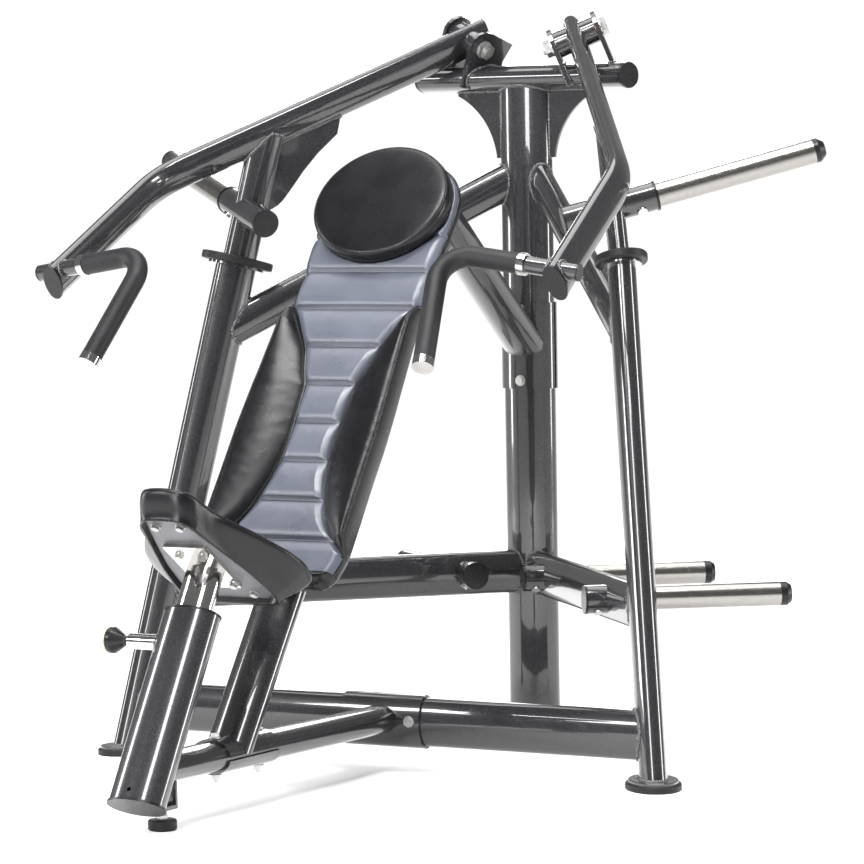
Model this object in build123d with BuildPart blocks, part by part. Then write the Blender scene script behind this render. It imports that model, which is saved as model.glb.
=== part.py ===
from build123d import *
import os
from math import cos, hypot, radians, sin

os.makedirs("parts", exist_ok=True)

# ---------------------------------------------------------------------------
# Incline chest press, plate loaded.  Millimetres, +Z up, -Y is the front
# (where the user sits), origin on the floor under the main column.
# ---------------------------------------------------------------------------

# tube sections: half-axes of the outer ellipse, and wall
WALL = 3.0
COLUMN = (60.0, 38.0)          # X, Y
CROSSBAR = (45.0, 28.5)        # Y, Z
POST = (45.0, 28.5)            # in the plane of its lean, across
UPPER_BRACE = (39.0, 26.0)     # upright, across
MID_BRACE = (47.5, 27.0)       # Z, across
FLOOR_BAR = (51.0, 30.0)       # Z, Y
SPINE = (42.0, 30.0)           # X, Z
SUPPORT = (51.0, 30.0)         # X, depth
SUPPORT_BACK = 75.0            # its axis, behind the pad's front surface
SUPPORT_BRACE = (49.5, 29.0)   # X, depth
ARM = (37.5, 20.5)             # upright, along the pivot axis
SEAT_POST = (60.0, 40.0)       # X, depth
SEAT_TUBE = (40.0, 26.0)       # X, depth

# heights and key points
BAR_Z = 1442.0                 # axis of the top crossbar
BAR_HALF = 251.0               # tube only, caps add 5 each side
MID_Z = 355.0                  # axis of the mid braces
FOOT_TOP = 20.0                # top of the foot plates
PAD_T = 14.0                   # rubber under the foot plates
FLOOR_BAR_Z = 104.0
FLOOR_BAR_Y = -642.0
SADDLE_Z = (760.0, 949.0)      # column saddle, bottom and top

PIVOT = Vector(133.0, -9.0, 1526.5)        # right arm, centre of its housing
PIVOT_AXIS = Vector(0.83839, 0.39900, 0.37136).normalized()
ARM_BEND = Vector(556.7, -621.9, 1228.4)
ARM_END = Vector(590.9, -972.5, 1024.8)
ARM_RADIUS = 250.0
STOP = Vector(467.3, -457.0, 1055.2)       # centre of the rubber stop
POST_FOOT = Vector(630.9, -661.4, 0.0)
PEG_IN = Vector(363.8, -505.5, 1135.9)     # inner end of the weight sleeve
PEG_OUT = Vector(790.0, -212.0, 1270.0)    # outer end of the weight peg
SLEEVE_R, PEG_R, PEG_SEAT_R = 30.0, 25.0, 24.0     # the peg is turned down inside its sleeve
SLEEVE_L = 192.0
HANDLE_RING = Vector(516.7, -963.4, 1061.7)
HANDLE_ELBOW = Vector(342.1, -979.1, 1087.2)
HANDLE_END = Vector(390.1, -1140.1, 870.1)
HANDLE_R, GRIP_R, HANDLE_BEND = 17.0, 21.0, 58.0

SEAT_POST_BOT = Vector(0.0, -1572.0, 59.0)
SEAT_POST_TOP = Vector(0.0, -1368.0, 399.0)
SEAT_O = Vector(0.0, -1315.0, 481.0)       # under the seat, on its plane
SEAT_TILT = 35.0
PIN_DROP = 60.6                            # pop pin below the post's top
PIN_R = 5.0
SPINE_BACK = Vector(0.0, -640.0, 108.0)
SPINE_FRONT = Vector(0.0, -1500.0, 118.5)
BACK_O = Vector(0.0, -1005.4, 595.4)       # on the back pad's front surface
BACK_DIR = Vector(0.0, 0.57879, 0.81547).normalized()
LEVEL_Y = -1487.0

UP = Vector(0, 0, 1)
XDIR = Vector(1, 0, 0)
LOW = (Align.CENTER, Align.CENTER, Align.MIN)


def oval(a, b):
    """Face of a four-arc oval, half-axes a along x and b along y, a the larger."""
    c = hypot(a, b)
    rs, rb = c * (c - (a - b)) / (2 * a), c * (c + (a - b)) / (2 * b)
    n = hypot(a - rs, rb - b)
    x, y = rb * (a - rs) / n, rb * (rb - b) / n - (rb - b)
    return Face(Wire([
        Edge.make_three_point_arc((x, -y, 0), (a, 0, 0), (x, y, 0)),
        Edge.make_three_point_arc((x, y, 0), (0, b, 0), (-x, y, 0)),
        Edge.make_three_point_arc((-x, y, 0), (-a, 0, 0), (-x, -y, 0)),
        Edge.make_three_point_arc((-x, -y, 0), (0, -b, 0), (x, -y, 0)),
    ]))


def run(p, q, side):
    """Plane at p, normal towards q, x direction as near to side as it can be."""
    z = (q - p).normalized()
    x = (side - z * side.dot(z)).normalized()
    return Plane(origin=p, x_dir=x, z_dir=z)


def rod(p, q, half, side):
    """Filled oval bar from p to q, used to cope the tubes that meet it."""
    return extrude(run(p, q, side) * oval(*half), amount=(q - p).length)


def pin(p, q, radius):
    """Filled round bar from p to q."""
    side = UP if abs((q - p).normalized().Z) < 0.9 else XDIR
    return extrude(run(p, q, side) * Circle(radius), amount=(q - p).length)


def hex_bolt(seat, outward, turn=UP, head=9.5, height=7.0, washer=12.0, shank=5.0, reach=9.0):
    """Hexagon bolt with its washer; seat is where the washer bears."""
    pl = run(seat, seat + outward, turn)
    body = extrude(pl * Circle(washer), amount=1.8)
    body += extrude(pl.offset(1.8) * RegularPolygon(head, 6), amount=height)
    body += extrude(pl.offset(-reach) * Circle(shank), amount=reach)
    return body


def through_bolt(a, b, turn=UP, head=9.5, washer=12.0, shank=5.0):
    """Bolt from a to b with a head at a, a nut at b and washers under both."""
    d = (b - a).normalized()
    pa, pb = run(a, b, turn), run(b, b + d, turn)
    body = extrude(pa * Circle(shank), amount=(b - a).length)
    body += extrude(pa.offset(-1.8) * Circle(washer), amount=1.8)
    body += extrude(pa.offset(-8.8) * RegularPolygon(head, 6), amount=7.0)
    body += extrude(pb * Circle(washer), amount=1.8)
    body += extrude(pb.offset(1.8) * RegularPolygon(head, 6), amount=8.0)
    body += extrude(pb.offset(9.8) * Circle(shank - 0.6), amount=5.0)
    return body


# directions shared by several pieces
post_dir = (STOP - POST_FOOT).normalized()
post_side = Vector(post_dir.X, post_dir.Y, 0).normalized() * -1     # outward lean
d1 = (ARM_BEND - PIVOT).normalized()
d2 = (ARM_END - ARM_BEND).normalized()
arm_up = (d2.cross(d1)).normalized()
peg_dir = (PEG_OUT - PEG_IN).normalized()
seat_axis = (SEAT_POST_TOP - SEAT_POST_BOT).normalized()
seat_n = Vector(0, sin(radians(SEAT_TILT)), cos(radians(SEAT_TILT)))
seat_plane = Plane(origin=SEAT_O, x_dir=XDIR, z_dir=seat_n)          # y runs to the rear
back_n = Vector(0, -BACK_DIR.Z, BACK_DIR.Y)
back_plane = Plane(origin=BACK_O, x_dir=XDIR, z_dir=back_n)          # y runs up the pad
mid_out = Vector(POST_FOOT.X + post_dir.X / post_dir.Z * MID_Z,
                 POST_FOOT.Y + post_dir.Y / post_dir.Z * MID_Z, MID_Z)
mid_dir = (mid_out - Vector(0, 0, MID_Z)).normalized()
store_dir = Vector(0.7889, 0.6145, 0).normalized()
store_cross = [Vector(110.3, -113.6, MID_Z), Vector(444.2, -457.4, MID_Z)]

# filled solids of the main members, for coping
column_rod = rod(Vector(0, 0, 0), Vector(0, 0, BAR_Z), COLUMN, XDIR)
bar_rod = rod(Vector(-BAR_HALF, 0, BAR_Z), Vector(BAR_HALF, 0, BAR_Z), CROSSBAR, Vector(0, 1, 0))
post_rod = rod(POST_FOOT - post_dir * 20, STOP - post_dir * 14.5, POST, post_side)
spine_rod = rod(SPINE_BACK, SPINE_FRONT, SPINE, XDIR)
seat_post_rod = rod(SEAT_POST_BOT - seat_axis * 3, SEAT_POST_TOP, SEAT_POST, XDIR)
bracket_rod = rod(Vector(-96, FLOOR_BAR_Y, FLOOR_BAR_Z), Vector(96, FLOOR_BAR_Y, FLOOR_BAR_Z),
                  (FLOOR_BAR[0] + 5.2, FLOOR_BAR[1] + 5.2), UP)
clamp_rod = rod(SPINE_BACK, SPINE_FRONT, (SPINE[0] + 5.2, SPINE[1] + 5.2), XDIR)
saddle_rod = rod(Vector(0, 0, SADDLE_Z[0]), Vector(0, 0, SADDLE_Z[1]),
                 (COLUMN[0] + 5.2, COLUMN[1] + 5.2), XDIR)
sup_lo = BACK_O - back_n * SUPPORT_BACK + BACK_DIR * -560.0
sup_hi = BACK_O - back_n * SUPPORT_BACK + BACK_DIR * 822.0
support_rod = rod(sup_lo, sup_hi, SUPPORT, XDIR)
saddle_bolt_z = (778.0, 935.0)
column_bolt_holes = [pin(Vector(0, -60, z), Vector(0, 60, z), 5.2) for z in saddle_bolt_z]
bracket_bolt_holes = [pin(Vector(x, FLOOR_BAR_Y - 60, 108), Vector(x, FLOOR_BAR_Y + 60, 108), 5.2)
                      for x in (-73, 73)]
clamp_bolt_y = (-1298.0, -1146.0)
post_rod_left = mirror(post_rod, about=Plane.YZ)
# half spaces that leave one half of each two-part clamp
bracket_rear_space = Pos(0, FLOOR_BAR_Y + 42, FLOOR_BAR_Z) * Box(200, 84, 140)
clamp_lower_space = Pos(0, -1220, 69) * Box(200, 400, 98.5)
saddle_rear_space = Pos(0, 46, 850) * Box(200, 100, 300)
clamp_bolt_holes = [pin(Vector(0, y, 20), Vector(0, y, 200), 5.2) for y in clamp_bolt_y]

# ---------------------------------------------------------------------------
# Main column, top crossbar, gussets
# ---------------------------------------------------------------------------
with BuildPart() as main_column:
    with BuildSketch(Plane.XY.offset(FOOT_TOP)):
        add(oval(*COLUMN))
        add(oval(COLUMN[0] - WALL, COLUMN[1] - WALL), mode=Mode.SUBTRACT)
    extrude(amount=BAR_Z - FOOT_TOP)
    add(bar_rod, mode=Mode.SUBTRACT)
    add(column_bolt_holes, mode=Mode.SUBTRACT)

with BuildPart() as top_crossbar:
    with BuildSketch(Plane(origin=(-BAR_HALF, 0, BAR_Z), x_dir=(0, 1, 0), z_dir=(1, 0, 0))):
        add(oval(*CROSSBAR))
        add(oval(CROSSBAR[0] - WALL, CROSSBAR[1] - WALL), mode=Mode.SUBTRACT)
    extrude(amount=2 * BAR_HALF)

with BuildPart() as top_gussets:
    for s in (1, -1):
        with BuildSketch(Plane(origin=(0, -4, 0), x_dir=(1, 0, 0), z_dir=(0, 1, 0))):
            # concave web: in this plane the second coordinate is -Z
            with BuildLine():
                Line((s * 40, -1436), (s * 168, -1436))
                Line((s * 168, -1436), (s * 168, -1405))
                ThreePointArc((s * 168, -1405), (s * 100, -1345), (s * 72, -1267))
                Line((s * 72, -1267), (s * 40, -1267))
                Line((s * 40, -1267), (s * 40, -1436))
            make_face()
        extrude(amount=8)
    add(column_rod, mode=Mode.SUBTRACT)
    add(bar_rod, mode=Mode.SUBTRACT)

# ---------------------------------------------------------------------------
# Pivot ears and pivot bolts (right side drawn, left mirrored)
# ---------------------------------------------------------------------------
ear_x = UP.cross(PIVOT_AXIS).normalized()            # towards the rear, level
ear_planes = [Plane(origin=PIVOT + PIVOT_AXIS * o, x_dir=ear_x, z_dir=PIVOT_AXIS)
              for o in (-56.0, 47.0)]
ear_solids = []
for i, pl in enumerate(ear_planes):
    if i == 0:      # inner ear, with its point to the rear
        outline = [(-37, -90), (-37, -8), (-35.5, 12), (-29, 24), (-19, 33), (-7, 37.5), (4, 38), (16, 36),
                   (26, 31.5), (75, 11), (58, -28), (56, -90)]
    else:           # outer ear
        outline = [(-37, -115), (-37, -8), (-35.5, 12), (-29, 24), (-19, 33), (-7, 37.5), (7, 37.5), (19, 33),
                   (29, 24), (36, 11), (38, 0), (40, -115)]
    solid = extrude(pl * Polygon(*outline[::-1], align=None), amount=9)
    solid = solid - extrude(pl * Circle(10.05), amount=9) - bar_rod
    ear_solids += [piece for piece in solid.solids() if piece.center().Z > BAR_Z]

with BuildPart() as pivot_ears:
    add(ear_solids)
    mirror(about=Plane.YZ)

bolt_axis = run(PIVOT - PIVOT_AXIS * 60, PIVOT, UP)
with BuildPart() as pivot_bolts:
    with BuildSketch(bolt_axis):
        Circle(10)
    extrude(amount=120)
    for off, thick in ((3.5, -3), (116.5, 3)):
        with BuildSketch(bolt_axis.offset(off)):
            Circle(20)
        extrude(amount=thick)
    with BuildSketch(bolt_axis.offset(119.5)):
        RegularPolygon(18.5, 6)
    extrude(amount=11)
    with BuildSketch(bolt_axis.offset(0.5)):
        RegularPolygon(18.5, 6)
    extrude(amount=-13)
    with BuildSketch(bolt_axis.offset(-12.5)):
        Circle(9)
    extrude(amount=-6)
    mirror(about=Plane.YZ)

# ---------------------------------------------------------------------------
# Side posts with their feet and stops
# ---------------------------------------------------------------------------
with BuildPart() as side_post_right:
    with BuildSketch(run(POST_FOOT - post_dir * 20, STOP, post_side)):
        add(oval(*POST))
        add(oval(POST[0] - WALL, POST[1] - WALL), mode=Mode.SUBTRACT)
    extrude(amount=(STOP - POST_FOOT).length + 20 - 14.5)
    split(bisect_by=Plane.XY.offset(FOOT_TOP), keep=Keep.TOP)
    # welded top plate that carries the rubber stop
    with BuildSketch(run(STOP - post_dir * 14.5, STOP, post_side)):
        add(oval(62, 42))
    extrude(amount=6)

with BuildPart() as side_post_left:
    mirror(side_post_right.part, about=Plane.YZ)

with BuildPart() as arm_stops:
    with BuildSketch(run(STOP - post_dir * 8.5, STOP, post_side)):
        add(oval(80, 54))
    extrude(amount=17)
    fillet(edges(), 3.5)
    mirror(about=Plane.YZ)

foot_c = Vector(POST_FOOT.X + post_dir.X / post_dir.Z * FOOT_TOP,
                POST_FOOT.Y + post_dir.Y / post_dir.Z * FOOT_TOP, 0)
post_foot_plane = Plane(origin=foot_c, x_dir=post_side, z_dir=UP)
with BuildPart() as foot_pads:
    with BuildSketch(post_foot_plane):
        add(oval(80, 56))
    extrude(amount=PAD_T)
    mirror(about=Plane.YZ)
    with BuildSketch(Plane.XY):
        add(oval(86, 62))
    extrude(amount=PAD_T)
    chamfer(edges().filter_by(lambda e: abs(e.center().Z) < 0.1), 1.5)
    fillet(edges().filter_by(lambda e: abs(e.center().Z - PAD_T) < 0.1), 4)

with BuildPart() as foot_plates:
    with BuildSketch(post_foot_plane.offset(PAD_T)):
        add(oval(74, 50))
    extrude(amount=FOOT_TOP - PAD_T)
    mirror(about=Plane.YZ)
    with BuildSketch(Plane.XY.offset(PAD_T)):
        add(oval(80, 56))
    extrude(amount=FOOT_TOP - PAD_T)
    chamfer(edges().filter_by(lambda e: abs(e.center().Z - FOOT_TOP) < 0.1), 1.2)

# ---------------------------------------------------------------------------
# Braces between the column and the posts
# ---------------------------------------------------------------------------
ub_in = Vector(27.0, 3.0, 1226.0)
ub_t = (899.0 - POST_FOOT.Z) / post_dir.Z
ub_out = POST_FOOT + post_dir * ub_t
with BuildPart() as upper_brace_right:
    with BuildSketch(run(ub_in, ub_out, UP)):
        add(oval(*UPPER_BRACE))
        add(oval(UPPER_BRACE[0] - WALL, UPPER_BRACE[1] - WALL), mode=Mode.SUBTRACT)
    extrude(amount=(ub_out - ub_in).length)
    add(column_rod, mode=Mode.SUBTRACT)
    add(post_rod, mode=Mode.SUBTRACT)

with BuildPart() as upper_brace_left:
    mirror(upper_brace_right.part, about=Plane.YZ)

store_sleeve_rods = [pin(c - store_dir * 62, c + store_dir * 52, SLEEVE_R) for c in store_cross]
mid_in = Vector(4.0, -4.0, MID_Z)
with BuildPart() as mid_brace_right:
    with BuildSketch(run(mid_in, mid_out, UP)):
        add(oval(*MID_BRACE))
        add(oval(MID_BRACE[0] - WALL, MID_BRACE[1] - WALL), mode=Mode.SUBTRACT)
    extrude(amount=(mid_out - mid_in).length - 6)
    add(column_rod, mode=Mode.SUBTRACT)
    add(post_rod, mode=Mode.SUBTRACT)
    split(bisect_by=Plane.YZ.offset(0.6), keep=Keep.TOP)
    add(store_sleeve_rods, mode=Mode.SUBTRACT)

with BuildPart() as mid_brace_left:
    mirror(mid_brace_right.part, about=Plane.YZ)

# ---------------------------------------------------------------------------
# Storage pegs through the mid braces
# ---------------------------------------------------------------------------
with BuildPart() as storage_sleeves:
    for c in store_cross:
        with BuildSketch(run(c - store_dir * 62, c, UP)):
            Circle(SLEEVE_R)
            Circle(PEG_SEAT_R + 0.05, mode=Mode.SUBTRACT)
        extrude(amount=114)
    mirror(about=Plane.YZ)

store_len = (335.0, 345.0)
with BuildPart() as storage_pegs:
    for c, length in zip(store_cross, store_len):
        with BuildSketch(run(c - store_dir * 56, c, UP)):
            Circle(PEG_SEAT_R)
        extrude(amount=110)
        with BuildSketch(run(c + store_dir * 52.1, c + store_dir * 100, UP)):
            Circle(PEG_R)
        extrude(amount=length - 52.1)
    mirror(about=Plane.YZ)

with BuildPart() as storage_peg_caps:
    for c, length in zip(store_cross, store_len):
        # domed end cap
        outer = run(c + store_dir * (length + 0.2), c + store_dir * 500, UP)
        with BuildSketch(outer):
            Circle(PEG_R - 0.1)
        extrude(amount=14)
        with BuildSketch(outer.offset(14)):
            Circle(PEG_R - 0.1)
        extrude(amount=9, taper=32)
        # inner plug with a rim over the sleeve
        inner = run(c - store_dir * 62.1, c - store_dir * 100, UP)
        with BuildSketch(inner):
            Circle(SLEEVE_R)
        extrude(amount=5)
    mirror(about=Plane.YZ)

# ---------------------------------------------------------------------------
# Floor crossbar, spine and their bracket
# ---------------------------------------------------------------------------
bar_end = Vector(POST_FOOT.X + post_dir.X / post_dir.Z * FLOOR_BAR_Z, 0, 0).X
with BuildPart() as floor_crossbar:
    with BuildSketch(Plane(origin=(-bar_end, FLOOR_BAR_Y, FLOOR_BAR_Z), x_dir=(0, 0, 1), z_dir=(1, 0, 0))):
        add(oval(*FLOOR_BAR))
        add(oval(FLOOR_BAR[0] - WALL, FLOOR_BAR[1] - WALL), mode=Mode.SUBTRACT)
    extrude(amount=2 * bar_end)
    add(post_rod, mode=Mode.SUBTRACT)
    add(post_rod_left, mode=Mode.SUBTRACT)
    add(bracket_bolt_holes, mode=Mode.SUBTRACT)

bracket_plane = Plane(origin=(-95, FLOOR_BAR_Y, FLOOR_BAR_Z), x_dir=(0, 0, 1), z_dir=(1, 0, 0))
with BuildPart() as bracket_rear:
    with BuildSketch(bracket_plane):
        add(oval(FLOOR_BAR[0] + 5.15, FLOOR_BAR[1] + 5.15))
        add(oval(FLOOR_BAR[0] + 0.15, FLOOR_BAR[1] + 0.15), mode=Mode.SUBTRACT)
    extrude(amount=190)
    split(bisect_by=Plane.XZ.offset(-FLOOR_BAR_Y - 4), keep=Keep.BOTTOM)
    add(bracket_bolt_holes, mode=Mode.SUBTRACT)

bracket_inner = rod(Vector(-96, FLOOR_BAR_Y, FLOOR_BAR_Z), Vector(96, FLOOR_BAR_Y, FLOOR_BAR_Z),
                    (FLOOR_BAR[0] + 0.15, FLOOR_BAR[1] + 0.15), UP)
with BuildPart() as spine_tube:
    with BuildSketch(run(SPINE_BACK, SPINE_FRONT, XDIR)):
        add(oval(*SPINE))
        add(oval(SPINE[0] - WALL, SPINE[1] - WALL), mode=Mode.SUBTRACT)
    extrude(amount=(SPINE_FRONT - SPINE_BACK).length)
    add(bracket_rod, mode=Mode.SUBTRACT)
    add(seat_post_rod, mode=Mode.SUBTRACT)
    add(clamp_bolt_holes, mode=Mode.SUBTRACT)
    # front half of the formed bracket, welded to the tube
    with BuildSketch(bracket_plane):
        add(oval(FLOOR_BAR[0] + 5.25, FLOOR_BAR[1] + 5.25))
        add(oval(FLOOR_BAR[0] + 0.15, FLOOR_BAR[1] + 0.15), mode=Mode.SUBTRACT)
    extrude(amount=190)
    add(bracket_rear_space, mode=Mode.SUBTRACT)
    add(bracket_bolt_holes, mode=Mode.SUBTRACT)
    # lug for the levelling foot behind the seat post
    with BuildSketch(Plane(origin=(0, LEVEL_Y + 4, 38))):
        Rectangle(34, 50)
    extrude(amount=8)
    with BuildSketch(Plane(origin=(0, LEVEL_Y + 26, 38))):
        Rectangle(34, 6)
    extrude(amount=52)
    add(seat_post_rod, mode=Mode.SUBTRACT)
    with BuildSketch(Plane(origin=(0, LEVEL_Y, 30))):
        Circle(6.2)
    extrude(amount=25, mode=Mode.SUBTRACT)

# ---------------------------------------------------------------------------
# Back support: tube with its saddle, brace with the front column saddle
# ---------------------------------------------------------------------------
spine_dir = (SPINE_FRONT - SPINE_BACK).normalized()
clamp_a = SPINE_BACK + spine_dir * 492.0
clamp_b = SPINE_BACK + spine_dir * 676.0
pad_bolt_v = (-60.0, 300.0, 690.0)
pad_bolt_seats = [BACK_O - back_n * (SUPPORT_BACK + SUPPORT[1]) + BACK_DIR * v for v in pad_bolt_v]
pad_bolt_holes = [pin(p - back_n * 2, p + back_n * 70, 5.2) for p in pad_bolt_seats]
with BuildPart() as back_support_tube:
    with BuildSketch(run(sup_lo, sup_hi, XDIR)):
        add(oval(*SUPPORT))
        add(oval(SUPPORT[0] - WALL, SUPPORT[1] - WALL), mode=Mode.SUBTRACT)
    extrude(amount=(sup_hi - sup_lo).length)
    add(clamp_rod, mode=Mode.SUBTRACT)
    split(bisect_by=Plane.XY.offset(118), keep=Keep.TOP)
    with BuildSketch(run(clamp_a, clamp_b, XDIR)):
        add(oval(SPINE[0] + 5.25, SPINE[1] + 5.25))
        add(oval(SPINE[0] + 0.15, SPINE[1] + 0.15), mode=Mode.SUBTRACT)
    extrude(amount=(clamp_b - clamp_a).length)
    add(clamp_lower_space, mode=Mode.SUBTRACT)
    add(clamp_bolt_holes, mode=Mode.SUBTRACT)
    add(pad_bolt_holes, mode=Mode.SUBTRACT)

with BuildPart() as spine_clamp_lower:
    with BuildSketch(run(clamp_a, clamp_b, XDIR)):
        add(oval(SPINE[0] + 5.15, SPINE[1] + 5.15))
        add(oval(SPINE[0] + 0.15, SPINE[1] + 0.15), mode=Mode.SUBTRACT)
    extrude(amount=(clamp_b - clamp_a).length)
    split(bisect_by=Plane.XY.offset(110), keep=Keep.BOTTOM)
    add(clamp_bolt_holes, mode=Mode.SUBTRACT)

brace_lo = Vector(0, -10, 846 - 2.5)
brace_hi = Vector(0, -454, 1204)
with BuildPart() as back_support_brace:
    with BuildSketch(run(brace_lo, brace_hi, XDIR)):
        add(oval(*SUPPORT_BRACE))
        add(oval(SUPPORT_BRACE[0] - WALL, SUPPORT_BRACE[1] - WALL), mode=Mode.SUBTRACT)
    extrude(amount=(brace_hi - brace_lo).length + 32)
    add(saddle_rod, mode=Mode.SUBTRACT)
    add(column_rod, mode=Mode.SUBTRACT)
    add(support_rod, mode=Mode.SUBTRACT)
    split(bisect_by=Plane(origin=BACK_O - back_n * (SUPPORT_BACK + 1), x_dir=XDIR, z_dir=back_n), keep=Keep.BOTTOM)
    # front saddle half, welded to the brace
    with BuildSketch(Plane.XY.offset(SADDLE_Z[0])):
        add(oval(COLUMN[0] + 5.25, COLUMN[1] + 5.25))
        add(oval(COLUMN[0] + 0.15, COLUMN[1] + 0.15), mode=Mode.SUBTRACT)
    extrude(amount=SADDLE_Z[1] - SADDLE_Z[0])
    add(saddle_rear_space, mode=Mode.SUBTRACT)
    add(column_bolt_holes, mode=Mode.SUBTRACT)

with BuildPart() as column_saddle_rear:
    with BuildSketch(Plane.XY.offset(SADDLE_Z[0])):
        add(oval(COLUMN[0] + 5.15, COLUMN[1] + 5.15))
        add(oval(COLUMN[0] + 0.15, COLUMN[1] + 0.15), mode=Mode.SUBTRACT)
    extrude(amount=SADDLE_Z[1] - SADDLE_Z[0])
    split(bisect_by=Plane.XZ.offset(-2), keep=Keep.BOTTOM)
    add(column_bolt_holes, mode=Mode.SUBTRACT)

# ---------------------------------------------------------------------------
# Fasteners of the frame
# ---------------------------------------------------------------------------
bolt_solids = [through_bolt(Vector(0, -43.4, z), Vector(0, 43.4, z)) for z in saddle_bolt_z]
bolt_solids += [through_bolt(Vector(x, FLOOR_BAR_Y - 35.5, 108), Vector(x, FLOOR_BAR_Y + 35.5, 108))
                for x in (-73, 73)]
for y in clamp_bolt_y:
    zc = SPINE_BACK.Z + (SPINE_FRONT.Z - SPINE_BACK.Z) * (SPINE_BACK.Y - y) / (SPINE_BACK.Y - SPINE_FRONT.Y)
    bolt_solids.append(through_bolt(Vector(0, y, zc + 35.7), Vector(0, y, zc - 35.7), turn=XDIR))
bolt_solids += [hex_bolt(p - back_n * 0.3, back_n * -1, turn=XDIR, head=8, height=6, washer=10, shank=4.9, reach=67.0)
                for p in pad_bolt_seats]
screw_solids = []
for c in store_cross:
    down = (Vector(-0.2, -0.75, -0.63)).normalized()
    down = (down - store_dir * down.dot(store_dir)).normalized()
    seat = c - store_dir * 40 + down * (SLEEVE_R - 0.4)
    screw_solids.append(extrude(run(seat, seat + down, UP) * Circle(9), amount=3.2))
with BuildPart() as frame_bolts:
    add(screw_solids)
    mirror(about=Plane.YZ)
    add(storage_sleeves.part, mode=Mode.SUBTRACT)
    add(bolt_solids)

# ---------------------------------------------------------------------------
# Seat post, its cap, collar and levelling foot
# ---------------------------------------------------------------------------
pin_c = SEAT_POST_TOP - seat_axis * PIN_DROP          # where the pin's axis meets the post's
pin_hole = pin(pin_c - XDIR * 30, pin_c - XDIR * 80, PIN_R + 0.3)
drain_c = SEAT_POST_BOT + seat_axis * 17
drain_hole = pin(drain_c, drain_c + Vector(0, -seat_axis.Z, seat_axis.Y) * 60, 4.5)
with BuildPart() as seat_post:
    with BuildSketch(run(SEAT_POST_BOT, SEAT_POST_TOP, XDIR)):
        add(oval(*SEAT_POST))
        add(oval(SEAT_POST[0] - WALL, SEAT_POST[1] - WALL), mode=Mode.SUBTRACT)
    extrude(amount=(SEAT_POST_TOP - SEAT_POST_BOT).length)
    add(pin_hole, mode=Mode.SUBTRACT)
    # drain and service hole low on the front
    add(drain_hole, mode=Mode.SUBTRACT)

with BuildPart() as seat_post_collar:
    with BuildSketch(run(SEAT_POST_TOP + seat_axis * 0.1, SEAT_POST_TOP + seat_axis, XDIR)):
        add(oval(SEAT_POST[0] + 1.5, SEAT_POST[1] + 1.5))
        add(oval(SEAT_TUBE[0] + 0.1, SEAT_TUBE[1] + 0.1), mode=Mode.SUBTRACT)
    extrude(amount=3.5)
    with BuildSketch(run(SEAT_POST_TOP + seat_axis * 0.1, SEAT_POST_TOP - seat_axis, XDIR)):
        add(oval(SEAT_POST[0] - WALL - 0.15, SEAT_POST[1] - WALL - 0.15))
        add(oval(SEAT_TUBE[0] + 0.1, SEAT_TUBE[1] + 0.1), mode=Mode.SUBTRACT)
    extrude(amount=40)

with BuildPart() as levelling_stud:
    with BuildSketch(Plane(origin=(0, LEVEL_Y, 21.1))):
        Circle(6)
    extrude(amount=48)
    with BuildSketch(Plane(origin=(0, LEVEL_Y, 21.1))):
        RegularPolygon(12, 6)
    extrude(amount=7)
    with BuildSketch(Plane(origin=(0, LEVEL_Y, 29.5))):
        RegularPolygon(12, 6)
    extrude(amount=8)

with BuildPart() as levelling_pad:
    with BuildSketch(Plane(origin=(0, LEVEL_Y, 0))):
        Circle(28)
    extrude(amount=21)
    fillet(edges().filter_by(lambda e: e.center().Z > 10), 5)
    chamfer(edges().filter_by(lambda e: e.center().Z < 1), 3)

with BuildPart() as tube_end_caps:
    # crossbar ends
    with BuildSketch(Plane(origin=(BAR_HALF + 0.1, 0, BAR_Z), x_dir=(0, 1, 0), z_dir=(1, 0, 0))):
        add(oval(CROSSBAR[0], CROSSBAR[1]))
    extrude(amount=5)
    mirror(about=Plane.YZ)
    # seat post bottom, with a rim a little wider than the tube
    with BuildSketch(run(SEAT_POST_BOT - seat_axis * 0.1, SEAT_POST_BOT - seat_axis * 10, XDIR)):
        add(oval(SEAT_POST[0] + 3, SEAT_POST[1] + 3))
    extrude(amount=5)

# ---------------------------------------------------------------------------
# Pop pin: housing on the post, plunger, spring, knob, disc.  Its axis is -X.
# ---------------------------------------------------------------------------
PIN_OUT = -1 * XDIR
HOUSE_IN, HOUSE_OUT = 58.0, 126.0       # distances from the post's axis


def pin_plane(distance):
    return Plane(origin=pin_c - XDIR * distance, x_dir=(0, 1, 0), z_dir=(-1, 0, 0))


with BuildPart() as pin_housing:
    with BuildSketch(pin_plane(HOUSE_IN)):
        Circle(15.5)
    extrude(amount=HOUSE_OUT - HOUSE_IN)
    chamfer(faces().filter_by(Axis.X).sort_by(Axis.X)[0].edges(), 2)
    add(seat_post_rod, mode=Mode.SUBTRACT)
    with BuildSketch(pin_plane(50)):
        Circle(PIN_R + 0.06)
    extrude(amount=90, mode=Mode.SUBTRACT)
    with BuildSketch(pin_plane(72)):
        Circle(11)
    extrude(amount=48, mode=Mode.SUBTRACT)

with BuildPart() as pin_plunger:
    with BuildSketch(pin_plane(36.5)):
        Circle(PIN_R)
    extrude(amount=98.5)
    with BuildSketch(pin_plane(73)):
        Circle(10.5)
    extrude(amount=5)

with BuildPart() as pin_spring:
    with BuildLine() as coil:
        Helix(pitch=9.0, height=36.0, radius=8.2, center=pin_c - XDIR * 80.0, direction=(-1, 0, 0))
    with BuildSketch(Plane(origin=coil.wires()[0] @ 0, z_dir=coil.wires()[0] % 0)):
        Rectangle(1.6, 1.6)
    sweep(path=coil.wires()[0], is_frenet=True)

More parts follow.
